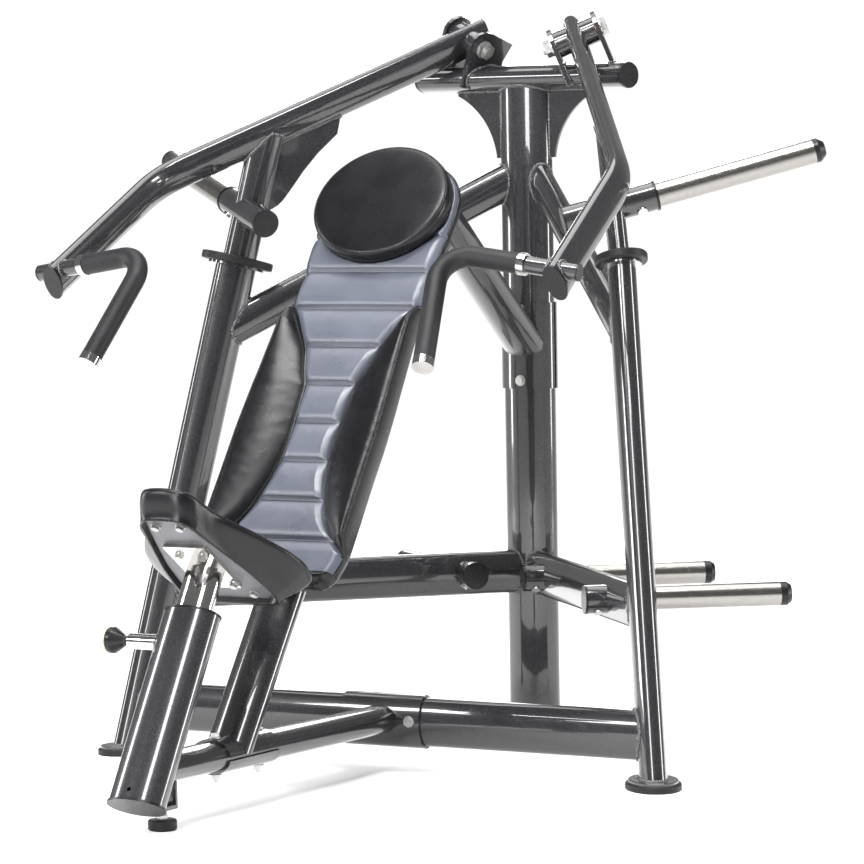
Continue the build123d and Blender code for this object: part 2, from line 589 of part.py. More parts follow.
with BuildPart() as pin_knob:
    with BuildSketch(Plane(origin=pin_c, x_dir=(-1, 0, 0), z_dir=(0, 1, 0))):
        with BuildLine():
            Polyline((131, 0), (131, 9.5), (136, 10.5), (160, 26), (168, 26.5), (171, 25), (171, 0), (131, 0))
        make_face()
    revolve(axis=Axis((pin_c.X, pin_c.Y, pin_c.Z), (1, 0, 0)))
    with BuildSketch(pin_plane(130)):
        Circle(PIN_R + 0.02)
    extrude(amount=5.2, mode=Mode.SUBTRACT)

with BuildPart() as pin_disc:
    with BuildSketch(pin_plane(171.1)):
        Circle(25)
    extrude(amount=8)
    fillet(faces().filter_by(Axis.X).sort_by(Axis.X)[0].edges(), 2)

# ---------------------------------------------------------------------------
# Seat: chromed tube, bracket, steel plate, board, pad
# ---------------------------------------------------------------------------
seat_rest_gap = 93.0
tube_lo = SEAT_POST_TOP - seat_axis * 285.0
tube_hi = SEAT_POST_TOP + seat_axis * 120.0
slot_mid = pin_c
slot_plane = Plane(origin=slot_mid - XDIR * 28, x_dir=seat_axis, z_dir=(-1, 0, 0))
with BuildPart() as seat_tube:
    with BuildSketch(run(tube_lo, tube_hi, XDIR)):
        add(oval(*SEAT_TUBE))
        add(oval(SEAT_TUBE[0] - WALL, SEAT_TUBE[1] - WALL), mode=Mode.SUBTRACT)
    extrude(amount=(tube_hi - tube_lo).length)
    split(bisect_by=seat_plane.offset(-4.1), keep=Keep.BOTTOM)
    # pin slot in the side wall, as long as the adjustment
    with BuildSketch(slot_plane):
        SlotOverall(164, 11.4)
    extrude(amount=20, mode=Mode.SUBTRACT)

seat_holes = [(27, -63), (-27, -63), (40, 45), (-40, 45)]
board_holes = [(28, -162), (-28, -162), (60, 92), (-60, 92)]
with BuildPart() as seat_bracket:
    with BuildSketch(seat_plane.offset(-4)):
        with Locations((0, -17)):
            RectangleRounded(100, 156, 6)
        with Locations(*seat_holes):
            Circle(4.6, mode=Mode.SUBTRACT)
    extrude(amount=8)

plate_half = [(30, -188), (40, -178), (53, -140), (72, -70), (88, -5), (95, 60), (95, 96), (80, 113)]
with BuildPart() as seat_plate:
    with BuildSketch(seat_plane.offset(4.1)):
        with BuildLine():
            Polyline(*plate_half, *[(-x, y) for x, y in reversed(plate_half)], close=True)
        make_face()
        with Locations(*seat_holes, *board_holes):
            Circle(4.6, mode=Mode.SUBTRACT)
    extrude(amount=3)

board_half = [(32, -190), (46, -180), (58, -140), (77, -70), (93, -5), (101, 60), (101, 98), (84, 118)]
with BuildPart() as seat_board:
    with BuildSketch(seat_plane.offset(7.2)):
        with BuildLine():
            Polyline(*board_half, *[(-x, y) for x, y in reversed(board_half)], close=True)
        make_face()
        with Locations(*seat_holes, *board_holes):
            Circle(4.6, mode=Mode.SUBTRACT)
    extrude(amount=12)

low_half = [(0, -196), (42, -190), (62, -162), (70, -125), (83, -70), (98, -10), (108, 50), (112, 98), (92, 124), (0, 131)]
wide_half = [(0, -226), (40, -219), (60, -195), (70, -160), (84, -120), (129, -56), (171, 18), (177, 73), (144, 130), (0, 165)]
mid_half = [(0.5 * (a + c), 0.5 * (b + d)) for (a, b), (c, d) in zip(low_half, wide_half)]
top_half = [(x * 0.94, y * 0.96) for x, y in wide_half]
with BuildPart() as seat_pad:
    for level, half in ((-3, low_half), (24, mid_half), (48, wide_half), (59, top_half)):
        with BuildSketch(seat_plane.offset(level)):
            with BuildLine():
                Polyline(*half, *[(-x, y) for x, y in reversed(half[1:-1])], close=True)
            make_face()
    loft(ruled=True)
    # pocket for the board and the plate
    with BuildSketch(seat_plane.offset(-4)):
        with BuildLine():
            Polyline(*[(x + 0.8, y - 0.8 if y < 0 else y + 0.8) for x, y in board_half],
                     *[(-x - 0.8, y - 0.8 if y < 0 else y + 0.8) for x, y in reversed(board_half)], close=True)
        make_face()
    extrude(amount=23.4, mode=Mode.SUBTRACT)

seat_bolt_solids = [hex_bolt(seat_plane.offset(-4.1).from_local_coords(Vector(x, y, 0)), seat_n * -1, turn=XDIR,
                             head=8.5, height=6, washer=10, shank=4.4, reach=22) for x, y in seat_holes]
seat_bolt_solids += [hex_bolt(seat_plane.offset(4.0).from_local_coords(Vector(x, y, 0)), seat_n * -1, turn=XDIR,
                              head=8.5, height=6, washer=10, shank=4.4, reach=14) for x, y in board_holes]
with BuildPart() as seat_bolts:
    add(seat_bolt_solids)

# ---------------------------------------------------------------------------
# Back board, back pad, head pad (x across, y up the pad)
# ---------------------------------------------------------------------------
pad_half = [(118, -187), (150, -173), (161, -142), (162, -60), (160, 40), (153, 150), (153, 280),
            (153, 380), (153, 460), (152, 549), (158, 640), (160, 690), (156, 727), (145, 756),
            (112, 792), (60, 824)]
board_back = [(0, -172), (110, -170), (136, -140), (134, 40), (130, 280), (138, 460), (146, 650), (128, 745), (80, 790), (0, 815)]
with BuildPart() as back_board:
    with BuildSketch(back_plane.offset(-44.8)):
        with BuildLine():
            Polyline(*board_back, *[(-x, y) for x, y in reversed(board_back[1:-1])], close=True)
        make_face()
    extrude(amount=8.6)
    add(pad_bolt_holes, mode=Mode.SUBTRACT)

# bolster outlines at the panel and at the crown, the same number of points in each
bolster_low = [(150, 458), (120, 424), (92, 385), (72, 330), (58, 270), (51, 185), (54, 92), (66, 20),
               (90, -50), (128, -112), (158, -126), (156, 40), (151, 150), (151, 280), (151, 380)]
bolster_top = [(154, 425), (144, 400), (124, 365), (106, 320), (94, 265), (88, 185), (90, 95), (100, 28),
               (118, -36), (144, -92), (168, -106), (165, 40), (166, 150), (159, 280), (155, 370)]
with BuildPart() as back_pad:
    with BuildSketch(back_plane.offset(-36)):
        with BuildLine():
            Polyline((0, -190), *pad_half, (0, 838), *[(-x, y) for x, y in reversed(pad_half)], close=True)
        make_face()
    extrude(amount=36)
    # raised side bolsters
    with BuildSketch(back_plane.offset(-2)):
        with BuildLine():
            Polyline(*bolster_low, close=True)
        make_face()
    with BuildSketch(back_plane.offset(28)):
        with BuildLine():
            Polyline(*bolster_top, close=True)
        make_face()
    loft(ruled=True)
    mirror(about=Plane.YZ)

with BuildPart() as head_pad:
    with BuildSketch(back_plane.offset(0.2)):
        with Locations((0, 695)):
            add(oval(156, 136))
    extrude(amount=42)
    fillet(faces().sort_by(Axis((0, 0, 0), tuple(back_n)))[-1].edges(), 10)

# ---------------------------------------------------------------------------
# Press arm, right (the left arm is its mirror image)
# ---------------------------------------------------------------------------
arm_tail = PIVOT - d1 * 40.0
arm_plane = run(arm_tail, PIVOT, arm_up)
arm_tip = ARM_END - d2 * 5.0
with BuildPart() as arm_tube_right:
    with BuildLine() as arm_path:
        FilletPolyline(arm_tail, ARM_BEND, arm_tip, radius=ARM_RADIUS)
    with BuildSketch(arm_plane):
        add(oval(*ARM))
        add(oval(ARM[0] - WALL, ARM[1] - WALL), mode=Mode.SUBTRACT)
    sweep(path=arm_path.wires()[0])
    # closing plate at the rear end
    with BuildSketch(arm_plane):
        add(oval(ARM[0] - 1, ARM[1] - 1))
    extrude(amount=4)
    # pivot housing across the tube
    with BuildSketch(run(PIVOT - PIVOT_AXIS * 46, PIVOT, UP)):
        Circle(29)
    extrude(amount=92)
    with BuildSketch(run(PIVOT - PIVOT_AXIS * 50, PIVOT, UP)):
        Circle(14)
    extrude(amount=100, mode=Mode.SUBTRACT)
handle_dir = (HANDLE_RING - HANDLE_ELBOW).normalized()
handle_out = HANDLE_RING + handle_dir * 116.0
handle_rod = pin(handle_out, HANDLE_RING, HANDLE_R)
arm_rod = rod(PIVOT, PIVOT + d1 * 740, ARM, arm_up)
leg_foot = Vector(461.5, -454.0, 1064.1)
leg_top = PIVOT + d1 * 528.0
leg_dir = (leg_top - leg_foot).normalized()
leg_seat = Plane(origin=STOP + post_dir * 9.3, x_dir=post_side, z_dir=post_dir)
sleeve_out = PEG_IN + peg_dir * SLEEVE_L
sleeve_rod = pin(PEG_IN, sleeve_out, SLEEVE_R)
with BuildPart() as arm_tube_cut:
    add(arm_tube_right.part)
    add(handle_rod, mode=Mode.SUBTRACT)

# gusset between the arm and the leg, in their common plane.
# Its outline steps along the arm to the rear, and down along the leg.
gus_n = leg_dir.cross(d1).normalized()
gus_z = gus_n if gus_n.cross(d1 * -1).Z > 0 else gus_n * -1
gus = Plane(origin=leg_top - gus_z * 4, x_dir=d1 * -1, z_dir=gus_z)
gusset_steps = [(10, 20), (40, 192), (58, 192), (74, 189), (85, 182), (104, 160), (124, 134), (154, 106),
                (198, 80), (195, 20)]
gus_y = gus_z.cross(d1 * -1).normalized()
gusset_outline = [(a - b * leg_dir.dot(d1 * -1), b * leg_dir.dot(gus_y) * -1) for a, b in gusset_steps]
leg_gusset = extrude(gus * Polygon(*gusset_outline, align=None), amount=8)
leg_core = rod(leg_foot, leg_top, (36.0, 19.0), post_side)
leg_gusset = leg_gusset - arm_rod - leg_core
leg_gusset = sorted(leg_gusset.solids(), key=lambda piece: piece.volume)[-1]

with BuildPart() as arm_leg_right:
    with BuildSketch(run(leg_foot - leg_dir * 8, leg_top, post_side)):
        add(oval(37.5, 20.5))
        add(oval(34.5, 17.5), mode=Mode.SUBTRACT)
    extrude(amount=(leg_top - leg_foot).length + 8)
    # foot plate that meets the rubber
    with BuildSketch(run(leg_foot - leg_dir * 8, leg_top, post_side)):
        add(oval(37, 20))
    extrude(amount=14)
    split(bisect_by=leg_seat, keep=Keep.TOP)
    add(arm_rod, mode=Mode.SUBTRACT)
    # only the length below the arm
    add(solids().sort_by(SortBy.VOLUME)[-1], mode=Mode.REPLACE)
    add(leg_gusset)
    # sleeve for the weight peg, welded through the leg
    with BuildSketch(run(PEG_IN, sleeve_out, UP)):
        Circle(SLEEVE_R)
    extrude(amount=SLEEVE_L)
    with BuildSketch(run(PEG_IN - peg_dir * 5, sleeve_out, UP)):
        Circle(PEG_SEAT_R + 0.05)
    extrude(amount=SLEEVE_L + 10, mode=Mode.SUBTRACT)

with BuildPart() as weight_peg_right:
    with BuildSketch(run(PEG_IN + peg_dir * 8, PEG_OUT, UP)):
        Circle(PEG_SEAT_R)
    extrude(amount=SLEEVE_L + 2)
    with BuildSketch(run(sleeve_out + peg_dir * 5.2, PEG_OUT, UP)):
        Circle(PEG_R)
    extrude(amount=(PEG_OUT - sleeve_out).length - 5.2)

with BuildPart() as arm_caps_right:
    # front end of the arm tube
    with BuildSketch(run(arm_tip + d2 * 0.1, ARM_END + d2 * 50, arm_up)):
        add(oval(ARM[0] + 1.5, ARM[1] + 1.5))
    extrude(amount=5)
    # inner end of the sleeve
    with BuildSketch(run(PEG_IN - peg_dir * 0.1, PEG_IN - peg_dir * 10, UP)):
        Circle(SLEEVE_R)
    extrude(amount=4)
    # lip on the outer end of the sleeve
    with BuildSketch(run(sleeve_out + peg_dir * 0.1, PEG_OUT, UP)):
        Circle(SLEEVE_R + 1.5)
        Circle(PEG_SEAT_R + 0.3, mode=Mode.SUBTRACT)
    extrude(amount=5)
    # domed end of the weight peg
    with BuildSketch(run(PEG_OUT + peg_dir * 0.1, PEG_OUT + peg_dir * 50, UP)):
        Circle(PEG_R - 0.1)
    extrude(amount=10)
    with BuildSketch(run(PEG_OUT + peg_dir * 10.1, PEG_OUT + peg_dir * 50, UP)):
        Circle(PEG_R - 0.1)
    extrude(amount=13, taper=38)
    # outer end of the handle stub
    with BuildSketch(run(handle_out + handle_dir * 0.1, handle_out + handle_dir * 20, UP)):
        Circle(HANDLE_R)
    extrude(amount=4)

handle_tip = HANDLE_END - (HANDLE_END - HANDLE_ELBOW).normalized() * 2.0
with BuildPart() as handle_tube_right:
    with BuildLine() as handle_path:
        FilletPolyline(handle_out, HANDLE_ELBOW, handle_tip, radius=HANDLE_BEND)
    with BuildSketch(run(handle_out, HANDLE_RING, UP)):
        Circle(HANDLE_R)
        Circle(HANDLE_R - 2.5, mode=Mode.SUBTRACT)
    sweep(path=handle_path.wires()[0])

ring_a = HANDLE_RING + handle_dir * 7.5
grip_a = HANDLE_RING - handle_dir * 7.7
grip_b = HANDLE_END - (HANDLE_END - HANDLE_ELBOW).normalized() * 16.2
with BuildPart() as handle_grip_right:
    with BuildLine() as grip_path:
        FilletPolyline(grip_a, HANDLE_ELBOW, grip_b, radius=HANDLE_BEND)
    with BuildSketch(run(grip_a, HANDLE_ELBOW, UP)):
        Circle(GRIP_R)
        Circle(HANDLE_R + 0.05, mode=Mode.SUBTRACT)
    sweep(path=grip_path.wires()[0])

grip_dir = (HANDLE_END - HANDLE_ELBOW).normalized()
screw_down = Vector(0.25, -0.62, -0.74)
screw_down = (screw_down - peg_dir * screw_down.dot(peg_dir)).normalized()
screw_seat = PEG_IN + peg_dir * (SLEEVE_L - 34) + screw_down * (SLEEVE_R - 0.6)
arm_screw = extrude(run(screw_seat, screw_seat + screw_down, UP) * Circle(10), amount=4.2) - sleeve_rod
with BuildPart() as arm_fittings_right:
    with BuildSketch(run(ring_a, HANDLE_RING, UP)):
        Circle(22)
        Circle(HANDLE_R + 0.05, mode=Mode.SUBTRACT)
    extrude(amount=15)
    with BuildSketch(run(HANDLE_END - grip_dir * 16, HANDLE_END, UP)):
        Circle(21.5)
        Circle(HANDLE_R + 0.05, mode=Mode.SUBTRACT)
    extrude(amount=14.1)
    with BuildSketch(run(HANDLE_END - grip_dir * 1.9, HANDLE_END, UP)):
        Circle(21.5)
    extrude(amount=3.9)
    add(arm_screw)

with BuildPart() as arm_bushings_right:
    for s in (1, -1):
        with BuildSketch(run(PIVOT + PIVOT_AXIS * (46.3 * s), PIVOT, UP)):
            Circle(13.97)
            Circle(10.06, mode=Mode.SUBTRACT)
        extrude(amount=30)

with BuildPart() as arm_tube_left:
    mirror(arm_tube_cut.part, about=Plane.YZ)
with BuildPart() as arm_leg_left:
    mirror(arm_leg_right.part, about=Plane.YZ)
with BuildPart() as weight_peg_left:
    mirror(weight_peg_right.part, about=Plane.YZ)
with BuildPart() as arm_caps_left:
    mirror(arm_caps_right.part, about=Plane.YZ)
with BuildPart() as handle_tube_left:
    mirror(handle_tube_right.part, about=Plane.YZ)
with BuildPart() as handle_grip_left:
    mirror(handle_grip_right.part, about=Plane.YZ)
with BuildPart() as arm_fittings_left:
    mirror(arm_fittings_right.part, about=Plane.YZ)
with BuildPart() as arm_bushings_left:
    mirror(arm_bushings_right.part, about=Plane.YZ)

# ---------------------------------------------------------------------------
# Labels and export: one STEP per sub-part
# ---------------------------------------------------------------------------
PARTS = {
    "main_column": main_column, "top_crossbar": top_crossbar, "top_gussets": top_gussets,
    "pivot_ears": pivot_ears, "pivot_bolts": pivot_bolts,
    "side_post_right": side_post_right, "side_post_left": side_post_left,
    "arm_stops": arm_stops, "foot_pads": foot_pads, "foot_plates": foot_plates,
    "upper_brace_right": upper_brace_right, "upper_brace_left": upper_brace_left,
    "mid_brace_right": mid_brace_right, "mid_brace_left": mid_brace_left,
    "storage_sleeves": storage_sleeves, "storage_pegs": storage_pegs, "storage_peg_caps": storage_peg_caps,
    "floor_crossbar": floor_crossbar, "bracket_rear": bracket_rear, "spine_tube": spine_tube,
    "back_support_tube": back_support_tube, "spine_clamp_lower": spine_clamp_lower,
    "back_support_brace": back_support_brace, "column_saddle_rear": column_saddle_rear,
    "frame_bolts": frame_bolts, "tube_end_caps": tube_end_caps,
    "seat_post": seat_post, "seat_post_collar": seat_post_collar,
    "levelling_stud": levelling_stud, "levelling_pad": levelling_pad,
    "pin_housing": pin_housing, "pin_plunger": pin_plunger, "pin_spring": pin_spring,
    "pin_knob": pin_knob, "pin_disc": pin_disc,
    "seat_tube": seat_tube, "seat_bracket": seat_bracket, "seat_plate": seat_plate,
    "seat_board": seat_board, "seat_pad": seat_pad, "seat_bolts": seat_bolts,
    "back_board": back_board, "back_pad": back_pad, "head_pad": head_pad,
    "arm_tube_right": arm_tube_cut, "arm_leg_right": arm_leg_right, "weight_peg_right": weight_peg_right,
    "arm_caps_right": arm_caps_right, "handle_tube_right": handle_tube_right,
    "handle_grip_right": handle_grip_right, "arm_fittings_right": arm_fittings_right,
    "arm_bushings_right": arm_bushings_right,
    "arm_tube_left": arm_tube_left, "arm_leg_left": arm_leg_left, "weight_peg_left": weight_peg_left,
    "arm_caps_left": arm_caps_left, "handle_tube_left": handle_tube_left,
    "handle_grip_left": handle_grip_left, "arm_fittings_left": arm_fittings_left,
    "arm_bushings_left": arm_bushings_left,
}
for name, block in PARTS.items():
    block.part.label = name
    export_step(block.part, f"parts/{name}.step")
print(len(PARTS), "parts")
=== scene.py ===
import math

import bmesh
import bpy
import numpy as np
from mathutils import Matrix, Vector, noise
from mathutils.bvhtree import BVHTree


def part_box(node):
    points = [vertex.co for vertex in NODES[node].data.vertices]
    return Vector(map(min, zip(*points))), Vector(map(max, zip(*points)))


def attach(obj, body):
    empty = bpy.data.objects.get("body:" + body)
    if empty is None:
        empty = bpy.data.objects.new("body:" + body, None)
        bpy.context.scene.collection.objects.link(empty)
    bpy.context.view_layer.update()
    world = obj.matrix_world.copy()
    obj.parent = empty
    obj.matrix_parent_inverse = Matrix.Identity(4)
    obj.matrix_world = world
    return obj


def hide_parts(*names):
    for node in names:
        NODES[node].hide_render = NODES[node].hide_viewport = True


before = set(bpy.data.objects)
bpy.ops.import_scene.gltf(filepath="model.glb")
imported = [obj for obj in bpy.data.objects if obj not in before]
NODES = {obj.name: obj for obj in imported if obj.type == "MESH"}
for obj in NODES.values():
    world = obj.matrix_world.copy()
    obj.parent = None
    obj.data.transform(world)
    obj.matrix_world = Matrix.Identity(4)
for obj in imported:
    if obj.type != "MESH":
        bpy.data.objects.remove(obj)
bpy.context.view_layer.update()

scene = bpy.context.scene
rng = np.random.default_rng(7)

# ------------------------------------------------------------------ camera
cam_data = bpy.data.cameras.new("camera")
cam_data.lens = 171.233
cam_data.sensor_width = 36.0
cam_data.clip_end = 100.0
cam = bpy.data.objects.new("camera", cam_data)
right = Vector((0.86559058, 0.50045548, -0.01724136))
up = Vector((-0.01856067, 0.06647184, 0.99761566))
fwd = Vector((-0.50040829, 0.8632067, -0.06682618))
m = Matrix.Identity(4)
for r in range(3):
    m[r][0], m[r][1], m[r][2] = right[r], up[r], -fwd[r]
m[0][3], m[1][3], m[2][3] = 4.3557, -7.9494, 1.2725
cam.matrix_world = m
scene.collection.objects.link(cam)
scene.camera = cam


# --------------------------------------------------------------- materials
def material(name, color, metallic=0.0, rough=0.4, vary=0.15, grain=0.0, grain_scale=600.0, wave=0.0, wave_scale=60.0,
             coat=0.0, flakes=0.0, streak=None, second=None, rough_vary=0.08, voronoi=False, spec=0.5):
    """Procedural surface on object coordinates: colour and gloss vary, with a fine grain and a slow waviness as bump."""
    mat = bpy.data.materials.new("look_" + name)
    mat.use_nodes = True
    nt = mat.node_tree
    out = nt.nodes["Material Output"]
    bsdf = nt.nodes["Principled BSDF"]
    bsdf.inputs["Metallic"].default_value = metallic
    bsdf.inputs["Coat Weight"].default_value = coat
    bsdf.inputs["Coat Roughness"].default_value = 0.05
    bsdf.inputs["Specular IOR Level"].default_value = spec
    tex = nt.nodes.new("ShaderNodeTexCoord")
    mapping = nt.nodes.new("ShaderNodeMapping")
    nt.links.new(tex.outputs["Object"], mapping.inputs["Vector"])
    if streak:
        mapping.inputs["Scale"].default_value = streak
    cloud = nt.nodes.new("ShaderNodeTexNoise")
    cloud.inputs["Scale"].default_value = 14.0
    cloud.inputs["Detail"].default_value = 6.0
    nt.links.new(mapping.outputs["Vector"], cloud.inputs["Vector"])
    ramp = nt.nodes.new("ShaderNodeValToRGB")
    ramp.color_ramp.elements[0].position = 0.3
    ramp.color_ramp.elements[1].position = 0.7
    low = [c * (1 - vary) for c in color]
    high = [min(1.0, c * (1 + vary)) for c in (second or color)]
    ramp.color_ramp.elements[0].color = (*low, 1)
    ramp.color_ramp.elements[1].color = (*high, 1)
    nt.links.new(cloud.outputs["Fac"], ramp.inputs["Fac"])
    base = ramp.outputs["Color"]
    if flakes:
        cell = nt.nodes.new("ShaderNodeTexVoronoi")
        cell.inputs["Scale"].default_value = 900.0
        nt.links.new(tex.outputs["Object"], cell.inputs["Vector"])
        pick = nt.nodes.new("ShaderNodeValToRGB")
        pick.color_ramp.elements[0].position = 0.80
        pick.color_ramp.elements[0].color = (0, 0, 0, 1)
        pick.color_ramp.elements[1].position = 0.97
        pick.color_ramp.elements[1].color = (1, 1, 1, 1)
        bw = nt.nodes.new("ShaderNodeSeparateColor")
        nt.links.new(cell.outputs["Color"], bw.inputs["Color"])
        nt.links.new(bw.outputs["Red"], pick.inputs["Fac"])
        mix = nt.nodes.new("ShaderNodeMixRGB")
        mix.blend_type = "ADD"
        scale = nt.nodes.new("ShaderNodeMath")
        scale.operation = "MULTIPLY"
        scale.inputs[1].default_value = flakes
        nt.links.new(pick.outputs["Color"], scale.inputs[0])
        nt.links.new(scale.outputs[0], mix.inputs["Fac"])
        nt.links.new(base, mix.inputs["Color1"])
        mix.inputs["Color2"].default_value = (0.55, 0.58, 0.62, 1)
        base = mix.outputs["Color"]
    nt.links.new(base, bsdf.inputs["Base Color"])
    gloss = nt.nodes.new("ShaderNodeMapRange")
    gloss.inputs["To Min"].default_value = max(0.02, rough - rough_vary)
    gloss.inputs["To Max"].default_value = min(1.0, rough + rough_vary)
    nt.links.new(cloud.outputs["Fac"], gloss.inputs["Value"])
    nt.links.new(gloss.outputs["Result"], bsdf.inputs["Roughness"])
    normal = None
    if wave:
        slow = nt.nodes.new("ShaderNodeTexNoise")
        slow.inputs["Scale"].default_value = wave_scale
        slow.inputs["Detail"].default_value = 4.0
        nt.links.new(mapping.outputs["Vector"], slow.inputs["Vector"])
        bump = nt.nodes.new("ShaderNodeBump")
        bump.inputs["Strength"].default_value = wave
        bump.inputs["Distance"].default_value = 0.002
        nt.links.new(slow.outputs["Fac"], bump.inputs["Height"])
        normal = bump.outputs["Normal"]
    if grain:
        if voronoi:
            fine = nt.nodes.new("ShaderNodeTexVoronoi")
            fine.inputs["Scale"].default_value = grain_scale
            height = fine.outputs["Distance"]
        else:
            fine = nt.nodes.new("ShaderNodeTexNoise")
            fine.inputs["Scale"].default_value = grain_scale
            fine.inputs["Detail"].default_value = 3.0
            height = fine.outputs["Fac"]
        nt.links.new(mapping.outputs["Vector"], fine.inputs["Vector"])
        bump2 = nt.nodes.new("ShaderNodeBump")
        bump2.inputs["Strength"].default_value = grain
        bump2.inputs["Distance"].default_value = 0.0006
        nt.links.new(height, bump2.inputs["Height"])
        if normal:
            nt.links.new(normal, bump2.inputs["Normal"])
        normal = bump2.outputs["Normal"]
    if normal:
        nt.links.new(normal, bsdf.inputs["Normal"])
    return mat


LOOK = {
    "frame_paint": material("frame_paint", (0.016, 0.016, 0.0175), metallic=0.2, rough=0.26, spec=0.3, vary=0.05, coat=1.0, flakes=0.035,
                            grain=0.03, grain_scale=900, rough_vary=0.015),
    "brushed_steel": material("brushed_steel", (0.27, 0.26, 0.245), metallic=1.0, rough=0.24, vary=0.06, grain=0.05,
                              grain_scale=90, streak=(1.0, 9.0, 9.0)),
    "zinc": material("zinc", (0.42, 0.42, 0.41), metallic=1.0, rough=0.33, vary=0.18, grain=0.15, grain_scale=400),
    "chrome": material("chrome", (0.47, 0.47, 0.47), metallic=1.0, rough=0.10, vary=0.05, second=(0.52, 0.50, 0.48),
                       wave=0.05, rough_vary=0.03),
    "spring_steel": material("spring_steel", (0.42, 0.42, 0.44), metallic=1.0, rough=0.3, vary=0.1, grain=0.1),
    "rubber": material("rubber", (0.010, 0.010, 0.011), rough=0.48, spec=0.2, vary=0.2, grain=0.35, grain_scale=900),
    "black_plastic": material("black_plastic", (0.008, 0.008, 0.009), rough=0.28, spec=0.25, vary=0.15, grain=0.12, grain_scale=1200),
    "disc_plastic": material("disc_plastic", (0.72, 0.62, 0.30), rough=0.35, vary=0.05, grain=0.08),
    "seat_plate_paint": material("seat_plate_paint", (0.11, 0.11, 0.12), metallic=0.6, rough=0.4, vary=0.15, grain=0.1),
    "board": material("board", (0.035, 0.032, 0.030), rough=0.7, vary=0.25, grain=0.3, grain_scale=300,
                      streak=(1.0, 8.0, 1.0)),
    "black_upholstery": material("black_upholstery", (0.004, 0.004, 0.005), rough=0.28, spec=0.27, vary=0.12, grain=0.22,
                                 grain_scale=620, wave=0.12, wave_scale=38, voronoi=True),
    "grey_upholstery": material("grey_upholstery", (0.070, 0.076, 0.098), spec=0.6, rough=0.30, vary=0.07, grain=0.30,
                                grain_scale=700, wave=0.12, wave_scale=45, voronoi=True),
    "bearing_bronze": material("bearing_bronze", (0.55, 0.36, 0.16), metallic=1.0, rough=0.35, vary=0.12, grain=0.1),
    "weld": material("weld", (0.035, 0.036, 0.038), metallic=0.5, rough=0.16, vary=0.15, coat=1.0, grain=0.3, grain_scale=900,
                     rough_vary=0.06),
    "thread": material("thread", (0.018, 0.019, 0.024), rough=0.7, vary=0.1, grain=0.2, grain_scale=2500),
    "black_thread": material("black_thread", (0.03, 0.03, 0.032), rough=0.6, vary=0.1, grain=0.2, grain_scale=2500),
}
for node in NODES.values():
    for s in node.material_slots:
        key = s.material.name.split(".")[0] if s.material else "frame_paint"
        s.material = LOOK.get(key, LOOK["frame_paint"])


# ---------------------------------------------------------------- geometry
def make(name, verts, faces, mats, body, index=None, smooth=True):
    """A new piece from plain vertices and faces, in the row frame, in metres."""
    mesh = bpy.data.meshes.new(name)
    mesh.from_pydata([tuple(v) for v in verts], [], faces)
    mesh.validate()
    for one in mats:
        mesh.materials.append(one)
    if index is not None and len(index) == len(mesh.polygons):
        mesh.polygons.foreach_set("material_index", index)
    mesh.polygons.foreach_set("use_smooth", [smooth] * len(mesh.polygons))
    bm = bmesh.new()
    bm.from_mesh(mesh)
    bmesh.ops.recalc_face_normals(bm, faces=bm.faces[:])
    bm.to_mesh(mesh)
    bm.free()
    mesh.update()
    obj = bpy.data.objects.new(name, mesh)
    scene.collection.objects.link(obj)
    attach(obj, body)
    return obj


def ball(level):
    bm = bmesh.new()
    bmesh.ops.create_icosphere(bm, subdivisions=level, radius=1.0)
    v = np.array([p.co[:] for p in bm.verts])
    f = np.array([[p.index for p in face.verts] for face in bm.faces])
    bm.free()
    return v, f


def scatter(name, centres, frames, level, mat, body):
    """Small rounded lumps, one per centre; frames are 3x3 matrices of scaled axes, columns first."""
    bv, bf = ball(level)
    c = np.asarray(centres)
    fr = np.asarray(frames)
    v = np.einsum("nij,kj->nki", fr, bv) + c[:, None, :]
    f = bf[None] + (np.arange(len(c)) * len(bv))[:, None, None]
    return make(name, v.reshape(-1, 3), f.reshape(-1, 3).tolist(), [mat], body)


# ------------------------------------------------------------- weld beads
cache = {}


def faceted(node):
    """Merged triangles of a CAD node: points, triangles, normals."""
    if node in cache:
        return cache[node]
    mesh = NODES[node].data
    n = len(mesh.vertices)
    co = np.empty(n * 3)
    mesh.vertices.foreach_get("co", co)
    co = co.reshape(-1, 3)
    key, inv = np.unique(np.round(co, 5), axis=0, return_inverse=True)
    inv = inv.reshape(-1)
    mesh.calc_loop_triangles()
    t = np.empty(len(mesh.loop_triangles) * 3, dtype=np.int32)
    mesh.loop_triangles.foreach_get("vertices", t)
    t = inv[t].reshape(-1, 3)
    t = t[(t[:, 0] != t[:, 1]) & (t[:, 1] != t[:, 2]) & (t[:, 0] != t[:, 2])]
    nrm = np.cross(key[t[:, 1]] - key[t[:, 0]], key[t[:, 2]] - key[t[:, 0]])
    length = np.linalg.norm(nrm, axis=1)
    keep = length > 1e-12
    t, nrm = t[keep], nrm[keep] / length[keep][:, None]
    cache[node] = key, t, nrm
    return cache[node]


def sharp_edges(node, concave=False, angle=25.0):
    key, t, nrm = faceted(node)
    e = np.sort(np.concatenate([t[:, [0, 1]], t[:, [1, 2]], t[:, [2, 0]]]), axis=1)
    f = np.tile(np.arange(len(t)), 3)
    order = np.lexsort((e[:, 1], e[:, 0]))
    e, f = e[order], f[order]
    same = np.all(e[1:] == e[:-1], axis=1)
    i = np.nonzero(same)[0]
    a, b = f[i], f[i + 1]
    dot = np.einsum("ij,ij->i", nrm[a], nrm[b])
    hit = dot < math.cos(math.radians(angle))
    i, a, b = i[hit], a[hit], b[hit]
    if concave:
        mid = key[t[b]].mean(axis=1)
        lift = np.einsum("ij,ij->i", mid - key[e[i][:, 0]], nrm[a])
        i = i[lift > 1e-6]
    ee = e[i]
    return key[ee[:, 0]], key[ee[:, 1]]


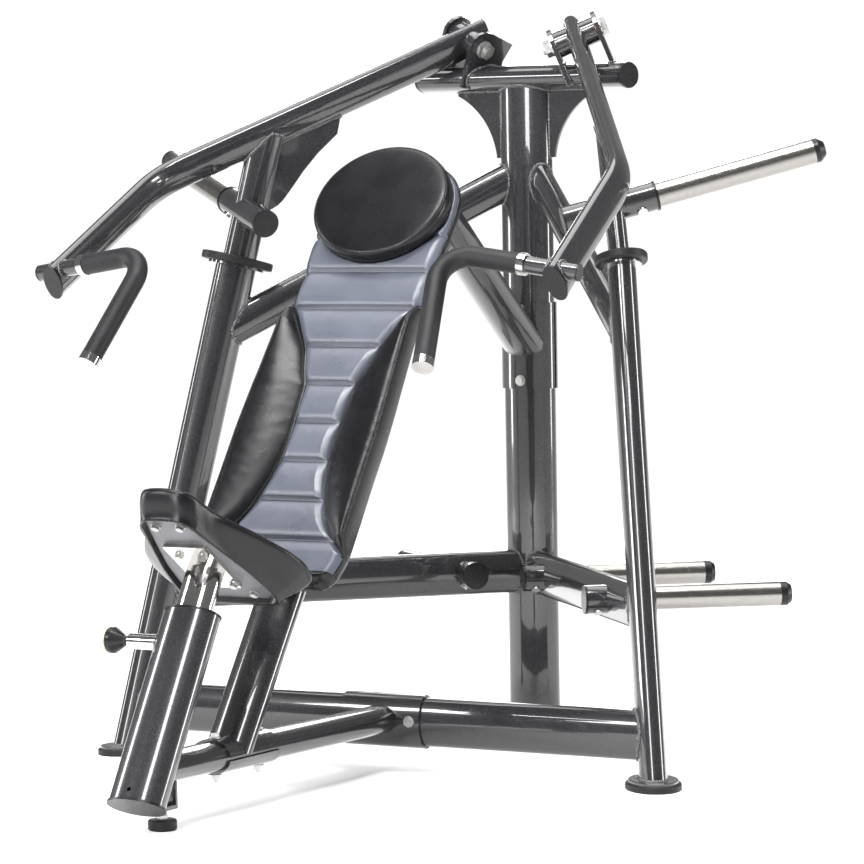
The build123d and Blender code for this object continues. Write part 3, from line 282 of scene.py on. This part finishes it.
def tree(node):
    key, t, _ = faceted(node)
    return BVHTree.FromPolygons([tuple(p) for p in key], t.tolist(), epsilon=0.0)


def seam(node, mate=None, reach=0.0014, pitch=0.0031, where=None):
    p, q = sharp_edges(node, concave=mate is None, angle=30.0)
    points = []
    if mate:
        lo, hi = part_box(mate)
        mid = 0.5 * (p + q)
        inside = np.all((mid > np.array(lo) - 0.003) & (mid < np.array(hi) + 0.003), axis=1)
        p, q = p[inside], q[inside]
        bvh = tree(mate)
    for a, b in zip(p, q):
        steps = max(1, int(math.ceil(np.linalg.norm(b - a) / pitch)))
        for k in range(steps):
            c = a + (b - a) * (k + 0.5) / steps
            if mate and bvh.find_nearest(Vector(c), reach)[0] is None:
                continue
            if where and not where(c):
                continue
            points.append(c)
    return points


def thin(points, gap=0.0026):
    kept, grid = [], {}
    for c in points:
        cell = tuple(int(math.floor(x / gap)) for x in c)
        near = False
        for dx in (-1, 0, 1):
            for dy in (-1, 0, 1):
                for dz in (-1, 0, 1):
                    for other in grid.get((cell[0] + dx, cell[1] + dy, cell[2] + dz), ()):
                        if np.linalg.norm(other - c) < gap:
                            near = True
        if not near:
            kept.append(c)
            grid.setdefault(cell, []).append(c)
    return kept


def weld(name, body, pairs, inner=(), where=None, radius=0.0040):
    points = []
    for node, mate in pairs:
        if node in NODES and mate in NODES:
            points += seam(node, mate, where=where)
    for node in inner:
        if node in NODES:
            points += seam(node, where=where)
    points = thin(points)
    if not points:
        print("no seam for", name)
        return None
    frames = []
    for _ in points:
        r = radius * (1 + 0.14 * rng.standard_normal())
        r = min(max(r, radius * 0.75), radius * 1.3)
        frames.append(np.diag([r, r * 1.0, r * 0.95]))
    print(name, len(points), "beads")
    return scatter(name, points, frames, 2, LOOK["weld"], body)


weld("weld_braces", "frame", [
    ("upper_brace_right", "main_column"), ("upper_brace_left", "main_column"),
    ("upper_brace_right", "side_post_right"), ("upper_brace_left", "side_post_left"),
    ("mid_brace_right", "main_column"), ("mid_brace_left", "main_column"),
    ("mid_brace_right", "side_post_right"), ("mid_brace_left", "side_post_left"),
    ("floor_crossbar", "side_post_right"), ("floor_crossbar", "side_post_left"),
])
weld("weld_column_top", "frame", [
    ("main_column", "top_crossbar"), ("pivot_ears", "top_crossbar"),
    ("top_gussets", "main_column"), ("top_gussets", "top_crossbar"),
], radius=0.0038)
weld("weld_pegs", "frame", [("storage_sleeves", "mid_brace_right"), ("storage_sleeves", "mid_brace_left"),
                            ("side_post_right", "foot_plates"), ("side_post_left", "foot_plates"),
                            ("main_column", "foot_plates")], radius=0.0037)
weld("weld_seat_support", "frame", [("spine_tube", "seat_post"), ("pin_housing", "seat_post"),
                                    ("back_support_brace", "back_support_tube"),
                                    ("column_saddle_rear", "back_support_brace")], radius=0.0037)
for side in ("right", "left"):
    weld("weld_arm_" + side, "arm_" + side, [("arm_leg_" + side, "arm_tube_" + side),
                                              ("arm_tube_" + side, "handle_tube_" + side),
                                              ("handle_tube_" + side, "arm_tube_" + side)], radius=0.0039)

# --------------------------------------------------------- padded pieces
S7 = np.array((0.0, -1005.4, 595.4))
DD = np.array((0.0, 0.57879, 0.81547))
NF = np.array((0.0, -0.81547, 0.57879))
PITCH = 91.085


def on_back(x, v, h):
    x, v, h = np.broadcast_arrays(np.asarray(x, float), np.asarray(v, float), np.asarray(h, float))
    return (S7 + x[..., None] * np.array((1.0, 0, 0)) + v[..., None] * DD + h[..., None] * NF) / 1000.0


w_tab = [(-190, 116), (-186, 130), (-178, 143), (-166, 153), (-142, 161), (-110, 166), (-60, 165.5), (40, 164.5), (150, 164.5),
         (230, 161.5), (280, 158.5), (380, 153.5), (460, 152), (549, 152), (640, 157), (690, 159), (727, 155.5), (756, 145),
         (776, 130), (792, 112), (812, 82), (824, 58), (833, 34), (838, 6)]
e_tab = [(-127, 166), (-122, 160), (-113, 154), (-90, 128), (-78, 117), (-55, 98), (-28, 84), (2, 74), (45, 61), (94, 53),
         (140, 50.5), (181, 52), (225, 54), (272, 57), (305, 70), (356, 85), (383, 101), (420, 122), (449, 140), (462, 153)]


def smooth_table(tab, v, n=9):
    y = np.interp(v, [t[0] for t in tab], [t[1] for t in tab])
    pad = np.pad(y, n, mode="edge")
    k = np.ones(2 * n + 1) / (2 * n + 1)
    return np.convolve(pad, k, mode="valid")


rows = np.arange(-190.0, 838.1, 2.5)
rows[-1] = 838.0
W = smooth_table(w_tab, rows, 2)
E = smooth_table(e_tab, rows, 3)
E = np.where((rows > -124) & (rows < 459), E, 999.0)
has = np.clip((W - E) / 6.0, 0, 1)                 # 1 where a bolster is
E = np.minimum(E, W - 4.0)


def panel_height(ax, v, e, w, bol):
    f = (v / PITCH) % 1.0
    u = 2 * f ** 0.80 - 1
    puff = -8.0 + 17.0 * np.clip(1 - np.abs(u) ** 2.6, 0, 1) ** 0.42 - 3.0 * f
    puff = np.where(v > 637, 5.0, puff)
    puff = np.where(v < -PITCH, np.minimum(puff, 6.0), puff)
    # pulled down along the bolster seam
    d = np.clip((e - ax) / 15.0, 0, 1)
    near = -7.0 + (puff + 7.0) * d ** 0.45
    # rolled over where the panel reaches the outer edge
    d2 = np.clip((w - ax) / 20.0, 0, 1)
    roll = puff - 15.0 * (1 - d2) ** 2.2
    h = bol * near + (1 - bol) * roll
    ell = (ax / 154.0) ** 2 + ((v - 695.0) / 134.0) ** 2
    h = np.where(ell < 1.0, np.minimum(h, -1.2), h)
    h = h - 14.0 * (1 - np.clip((v + 190) / 26.0, 0, 1)) ** 2.0
    h = h - 10.0 * (1 - np.clip((838 - v) / 22.0, 0, 1)) ** 2.0
    return h


def bolster_height(t, v, span, bol, edge):
    crest = 31.0 * np.clip(span / 34.0, 0, 1) ** 0.75
    rise = np.sin(0.5 * math.pi * np.clip(t / 0.92, 0, 1)) ** 0.62
    h = -7.0 + (crest + 7.0) * rise - 3.5 * np.clip((t - 0.88) / 0.12, 0, 1) ** 2
    return bol * h + (1 - bol) * edge


N1, N2, N3, N4 = 54, 26, 9, 8
grid = []
for i, v in enumerate(rows):
    w, e, bol = W[i], E[i], has[i]
    a = np.linspace(0, 1, N1)
    x1 = e * (1 - (1 - a) ** 1.25)
    h1 = panel_height(x1, v, e, w, bol)
    t = np.linspace(0, 1, N2 + 1)[1:]
    x2 = e + (w - e) * t
    edge2 = panel_height(x2, v, e, w, 0.0)
    h2 = bolster_height(t, v, w - e, bol, edge2)
    x = np.concatenate([x1, x2])
    h = np.concatenate([h1, h2])
    s = np.linspace(0, 1, N3 + 1)[1:]
    top_h = h[-1]
    x3 = w - 6.5 * s ** 1.6 + 1.6 * np.sin(math.pi * s)
    h3 = top_h + (-36.0 - top_h) * s
    x3[-1] -= 1.0
    x4 = x3[-1] * (1 - np.linspace(0, 1, N4 + 1)[1:])
    h4 = np.full(N4, -36.4)
    x = np.concatenate([x, x3, x4])
    h = np.concatenate([h, h3, h4])
    wr = np.array([noise.noise(Vector((xx * 0.035, v * 0.05, 3.1))) * 0.9 + noise.noise(Vector((xx * 0.12, v * 0.09, 7.7))) * 0.45
                   for xx in x])
    soft = np.concatenate([np.full(N1, 0.35), np.full(N2, 0.32), np.full(N3, 0.4), np.zeros(N4)])
    h = h + wr * soft
    half = np.stack([x, np.full_like(x, v), h], axis=1)
    mirror = half[::-1][:].copy()
    mirror[:, 0] *= -1
    ring = np.concatenate([half, mirror[1:-1]])
    grid.append(ring)
grid = np.array(grid)
R, C = grid.shape[:2]
verts = on_back(grid[..., 0], grid[..., 1], grid[..., 2]).reshape(-1, 3)
faces, index = [], []
for i in range(R - 1):
    v = 0.5 * (rows[i] + rows[i + 1])
    for j in range(C):
        k = (j + 1) % C
        faces.append((i * C + j, i * C + k, (i + 1) * C + k, (i + 1) * C + j))
        jj = j if j < C // 2 + 1 else C - j - 1
        black = jj >= N1 - 1
        if v > 462 or v < -127:
            black = jj >= N1 + N2 - 2
        if v < -165:
            black = True
        index.append(1 if black else 0)
faces.append(tuple(range(C)))
faces.append(tuple((R - 1) * C + j for j in range(C)))
index += [1, 1]
back = make("back_cushion", verts, faces, [LOOK["grey_upholstery"], LOOK["black_upholstery"]], "frame", index)
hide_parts("back_pad")


def tube(name, path, radius, mat, body, sides=8, closed=False):
    """Thin round piping along a path of points in metres."""
    path = np.asarray(path)
    n = len(path)
    tangent = np.gradient(path, axis=0)
    if closed:
        tangent = np.roll(path, -1, axis=0) - np.roll(path, 1, axis=0)
    tangent /= np.linalg.norm(tangent, axis=1)[:, None]
    ref = NF if body == "frame" else np.array((0, 0.5736, 0.8192))
    a = np.cross(tangent, ref)
    a /= np.linalg.norm(a, axis=1)[:, None]
    b = np.cross(a, tangent)
    ang = np.linspace(0, 2 * math.pi, sides, endpoint=False)
    v = path[:, None, :] + radius * (np.cos(ang)[None, :, None] * a[:, None, :] + np.sin(ang)[None, :, None] * b[:, None, :])
    f = []
    for i in range(n if closed else n - 1):
        for j in range(sides):
            k = (j + 1) % sides
            i2 = (i + 1) % n
            f.append((i * sides + j, i * sides + k, i2 * sides + k, i2 * sides + j))
    if not closed:
        f.append(tuple(range(sides)))
        f.append(tuple((n - 1) * sides + j for j in range(sides)))
    return make(name, v.reshape(-1, 3), f, [mat], body)


# piping along the outer edges of the pad
edge_col = N1 + N2 - 1
for sign, side in ((1, "right"), (-1, "left")):
    path = [(sign * g[edge_col][0], g[edge_col][1], g[edge_col][2]) for g in grid[10:-14]]
    path = np.array(path)
    pts = on_back(path[:, 0], path[:, 1], path[:, 2])[::2]
    tube("back_piping_" + side, pts, 0.0026, LOOK["black_upholstery"], "frame")


def stitches(name, lines, body, mat, pitch=0.0052, length=0.0022, thick=0.0012):
    centres, frames = [], []
    for line in lines:
        line = np.asarray(line)
        seg = np.linalg.norm(np.diff(line, axis=0), axis=1)
        s = np.concatenate([[0], np.cumsum(seg)])
        n = int(s[-1] / pitch)
        for k in range(n):
            d = (k + 0.5) * pitch
            i = min(np.searchsorted(s, d) - 1, len(seg) - 1)
            i = max(i, 0)
            tdir = (line[i + 1] - line[i]) / max(seg[i], 1e-9)
            c = line[i] + tdir * (d - s[i])
            side_dir = np.cross(tdir, (0.1, -0.7, 0.7))
            side_dir /= np.linalg.norm(side_dir)
            third = np.cross(tdir, side_dir)
            centres.append(c)
            frames.append(np.stack([tdir * length, side_dir * thick, third * thick], axis=1))
    return scatter(name, centres, frames, 1, mat, body)


def surface_line(x_of, vs):
    out = []
    for i, v in enumerate(vs):
        r = int(round((v + 190) / 2.5))
        r = min(max(r, 0), R - 1)
        x = x_of(i, v)
        front = grid[r][:N1 + N2]
        h = np.interp(abs(x), front[:, 0], front[:, 2])
        out.append(on_back(x, v, h + 0.3))
    return np.array(out)


lines = []
for k in range(-1, 7):
    v0 = k * PITCH
    for dv in (-4.0, 4.0):
        v = v0 + dv
        r = int(round((v + 190) / 2.5))
        e = (E[r] if has[r] > 0.5 else W[r] - 8) - 5
        xs = np.arange(-e, e + 0.1, 4.0)
        front = grid[r][:N1 + N2]
        h = np.interp(np.abs(xs), front[:, 0], front[:, 2])
        lines.append(on_back(xs, np.full_like(xs, v), h + 0.3))
stitches("panel_stitches", lines, "frame", LOOK["thread"])
lines = []
for sign in (1, -1):
    vs = np.arange(-100, 440, 4.0)
    for off in (4.5,):
        lines.append(surface_line(lambda i, v: sign * (np.interp(v, rows, E) + off), vs))
stitches("bolster_stitches", lines, "frame", LOOK["black_thread"])

# head pad: an oval cushion with a seam round its edge
profile = [(0.0, 0.3), (0.5, 0.3), (0.90, 0.3), (0.955, 2.0), (0.985, 7.0), (1.0, 15.0), (1.004, 24.0), (1.0, 31.0),
           (0.992, 35.2), (0.984, 36.9), (0.979, 37.3), (0.975, 37.9), (0.968, 39.2), (0.955, 40.4), (0.93, 41.4), (0.90, 42.0),
           (0.82, 42.8), (0.70, 43.6), (0.5, 44.3), (0.33, 44.6), (0.16, 44.8)]
SEG = 144
hv, hf = [], []
for r, h in profile[1:]:
    for k in range(SEG):
        a = 2 * math.pi * k / SEG
        x, v = 156 * r * math.cos(a), 136 * r * math.sin(a)
        wr = 0.2 * noise.noise(Vector((x * 0.03, v * 0.03, 1.7))) if h > 3 else 0.0
        hv.append(on_back(x, 695 + v, h + wr))
start = len(hv)
hv.append(on_back(0, 695, 0.3))
hv.append(on_back(0, 695, 44.8))
for i in range(len(profile) - 2):
    for k in range(SEG):
        k2 = (k + 1) % SEG
        hf.append((i * SEG + k, i * SEG + k2, (i + 1) * SEG + k2, (i + 1) * SEG + k))
last = (len(profile) - 2) * SEG
for k in range(SEG):
    k2 = (k + 1) % SEG
    hf.append((start, k2, k))
    hf.append((start + 1, last + k, last + k2))
head = make("head_cushion", hv, hf, [LOOK["black_upholstery"]], "frame")
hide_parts("head_pad")
ring = [on_back(156 * 0.979 * math.cos(a), 695 + 136 * 0.979 * math.sin(a), 37.3) for a in np.linspace(0, 2 * math.pi, 180, endpoint=False)]
tube("head_piping", ring, 0.0016, LOOK["black_upholstery"], "frame", closed=True)

# seat cushion: a saddle shape, open underneath where the board sits
SO = np.array((0.0, -1315.0, 481.0))
SN = np.array((0.0, 0.5736, 0.8192))
SY = np.array((0.0, 0.8192, -0.5736))


def on_seat(x, y, h):
    return (SO + np.array((1.0, 0, 0)) * x + SY * y + SN * h) / 1000.0


low = [(0, -196), (42, -190), (62, -162), (70, -125), (83, -70), (98, -10), (108, 50), (112, 98), (92, 124), (0, 131)]
wide = [(0, -226), (40, -219), (60, -195), (70, -160), (84, -120), (129, -56), (171, 18), (177, 73), (144, 130), (0, 165)]
pocket = [(0, -191.4), (33, -191.4), (47.4, -181.4), (59.4, -141), (78.4, -71), (94.4, -5), (102.4, 60), (102.4, 99), (85.4, 119.4), (0, 119.4)]


def closed_curve(half, per=14, straight=False):
    pts = list(half) + [(-x, y) for x, y in reversed(half[1:-1])]
    n = len(pts)
    out = []
    for i in range(n):
        p0, p1, p2, p3 = (np.array(pts[(i + d) % n], float) for d in (-1, 0, 1, 2))
        for k in range(per):
            t = k / per
            if straight:
                out.append(p1 + (p2 - p1) * t)
            else:
                out.append(0.5 * ((2 * p1) + (p2 - p0) * t + (2 * p0 - 5 * p1 + 4 * p2 - p3) * t * t
                                  + (3 * p1 - p0 - 3 * p2 + p3) * t ** 3))
    return np.array(out)


cl, cw, cp = closed_curve(low), closed_curve(wide), closed_curve(pocket, straight=True)
centre = np.array((0.0, -20.0))
levels = [(-3.0, 0.0, 1.0), (1.0, 0.02, 1.015), (8.0, 0.14, 1.01), (16.0, 0.36, 1.0), (24.0, 0.60, 1.0), (32.0, 0.80, 1.0), (39.0, 0.93, 1.0),
          (44.0, 0.985, 1.0), (48.0, 1.0, 1.0), (50.6, 1.0, 0.992), (51.6, 1.0, 0.986), (52.6, 1.0, 0.984), (54.5, 1.0, 0.972),
          (57.0, 1.0, 0.945), (59.5, 1.0, 0.90), (61.2, 1.0, 0.83), (62.0, 1.0, 0.72), (61.6, 1.0, 0.58), (60.4, 1.0, 0.42), (59.2, 1.0, 0.25), (58.6, 1.0, 0.1)]
sv = []
P = len(cl)
sv += [on_seat(p[0], p[1], 19.9) for p in cp]
sv += [on_seat(p[0], p[1], -2.4) for p in cp]
for h, mixv, sc in levels:
    ring = cl * (1 - mixv) + cw * mixv
    if h > 40:
        away = ring - centre
        ring = centre + away * sc
    for p in ring:
        wr = 0.9 * noise.noise(Vector((p[0] * 0.03, p[1] * 0.03, h * 0.05)))
        dip = -3.5 * math.exp(-((p[0] / 55.0) ** 2)) * (h > 55)
        sv.append(on_seat(p[0], p[1], h + (wr if h > 5 else 0) + dip))
sv.append(on_seat(centre[0], centre[1], 55.2))
sf = []
rings = len(levels) + 2
for i in range(rings - 1):
    for k in range(P):
        k2 = (k + 1) % P
        sf.append((i * P + k, i * P + k2, (i + 1) * P + k2, (i + 1) * P + k))
sf.append(tuple(range(P)))
top = (rings - 1) * P
for k in range(P):
    sf.append((rings * P, top + k, top + (k + 1) % P))
seat = make("seat_cushion", sv, sf, [LOOK["black_upholstery"]], "seat")
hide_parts("seat_pad")
ringc = centre + (cw - centre) * 0.987
tube("seat_piping", [on_seat(p[0], p[1], 51.6) for p in ringc], 0.0015, LOOK["black_upholstery"], "seat", closed=True)

# ------------------------------------------------------------ stage, light
floor_mat = bpy.data.materials.new("look_floor")
floor_mat.use_nodes = True
fb = floor_mat.node_tree.nodes["Principled BSDF"]
fn = floor_mat.node_tree.nodes.new("ShaderNodeTexNoise")
fn.inputs["Scale"].default_value = 1.5
fr = floor_mat.node_tree.nodes.new("ShaderNodeValToRGB")
fr.color_ramp.elements[0].color = (0.93, 0.93, 0.93, 1)
fr.color_ramp.elements[1].color = (0.96, 0.96, 0.96, 1)
floor_mat.node_tree.links.new(fn.outputs["Fac"], fr.inputs["Fac"])
floor_mat.node_tree.links.new(fr.outputs["Color"], fb.inputs["Base Color"])
fb.inputs["Roughness"].default_value = 1.0
fb.inputs["Specular IOR Level"].default_value = 0.0
fm = bpy.data.meshes.new("floor")
fm.from_pydata([(-30, -30, -0.0005), (30, -30, -0.0005), (30, 30, -0.0005), (-30, 30, -0.0005)], [], [(0, 1, 2, 3)])
fm.materials.append(floor_mat)
floor = bpy.data.objects.new("floor", fm)
scene.collection.objects.link(floor)

world = bpy.data.worlds.new("studio")
scene.world = world
world.use_nodes = True
wn = world.node_tree
sky = wn.nodes["Background"]
sky.inputs["Color"].default_value = (1.0, 1.0, 1.0, 1)
sky.inputs["Strength"].default_value = 0.24
seen = wn.nodes.new("ShaderNodeBackground")
seen.inputs["Color"].default_value = (1, 1, 1, 1)
seen.inputs["Strength"].default_value = 1.05
path = wn.nodes.new("ShaderNodeLightPath")
choose = wn.nodes.new("ShaderNodeMixShader")
wn.links.new(path.outputs["Is Camera Ray"], choose.inputs["Fac"])
wn.links.new(sky.outputs["Background"], choose.inputs[1])
wn.links.new(seen.outputs["Background"], choose.inputs[2])
wn.links.new(choose.outputs["Shader"], wn.nodes["World Output"].inputs["Surface"])
scene.view_settings.view_transform = "Standard"


def area(name, at, target, size, energy, color=(1, 1, 1)):
    light = bpy.data.lights.new(name, "AREA")
    light.shape = "RECTANGLE"
    light.size, light.size_y = size
    light.energy = energy
    light.color = color
    obj = bpy.data.objects.new(name, light)
    obj.location = at
    obj.rotation_euler = (Vector(target) - Vector(at)).to_track_quat("-Z", "Y").to_euler()
    scene.collection.objects.link(obj)


area("front_box", (0.1, -6.4, 1.9), (0, -0.6, 0.95), (1.3, 3.2), 230)
area("left_strip", (-5.0, -2.2, 1.9), (0, -0.6, 0.9), (0.6, 3.4), 130)
area("right_strip", (5.2, 1.4, 1.9), (0, -0.6, 0.9), (0.9, 3.4), 200)
area("top", (0.6, -1.8, 4.0), (0, -0.7, 0.9), (2.8, 0.45), 170)
area("roll_box", (-2.6, -5.3, 2.9), (0, -1.0, 0.9), (1.5, 0.7), 110)
area("over_front", (0.85, -4.4, 3.4), (0, -1.4, 0.45), (0.6, 2.2), 90)
area("rear", (-2.5, 3.6, 2.6), (0, -0.4, 1.0), (2.0, 1.4), 90)
sun = bpy.data.lights.new("overhead", "SUN")
sun.energy = 2.7
sun.angle = math.radians(55)
sun_obj = bpy.data.objects.new("overhead", sun)
sun_obj.rotation_euler = (math.radians(-8), math.radians(-6), 0)
scene.collection.objects.link(sun_obj)
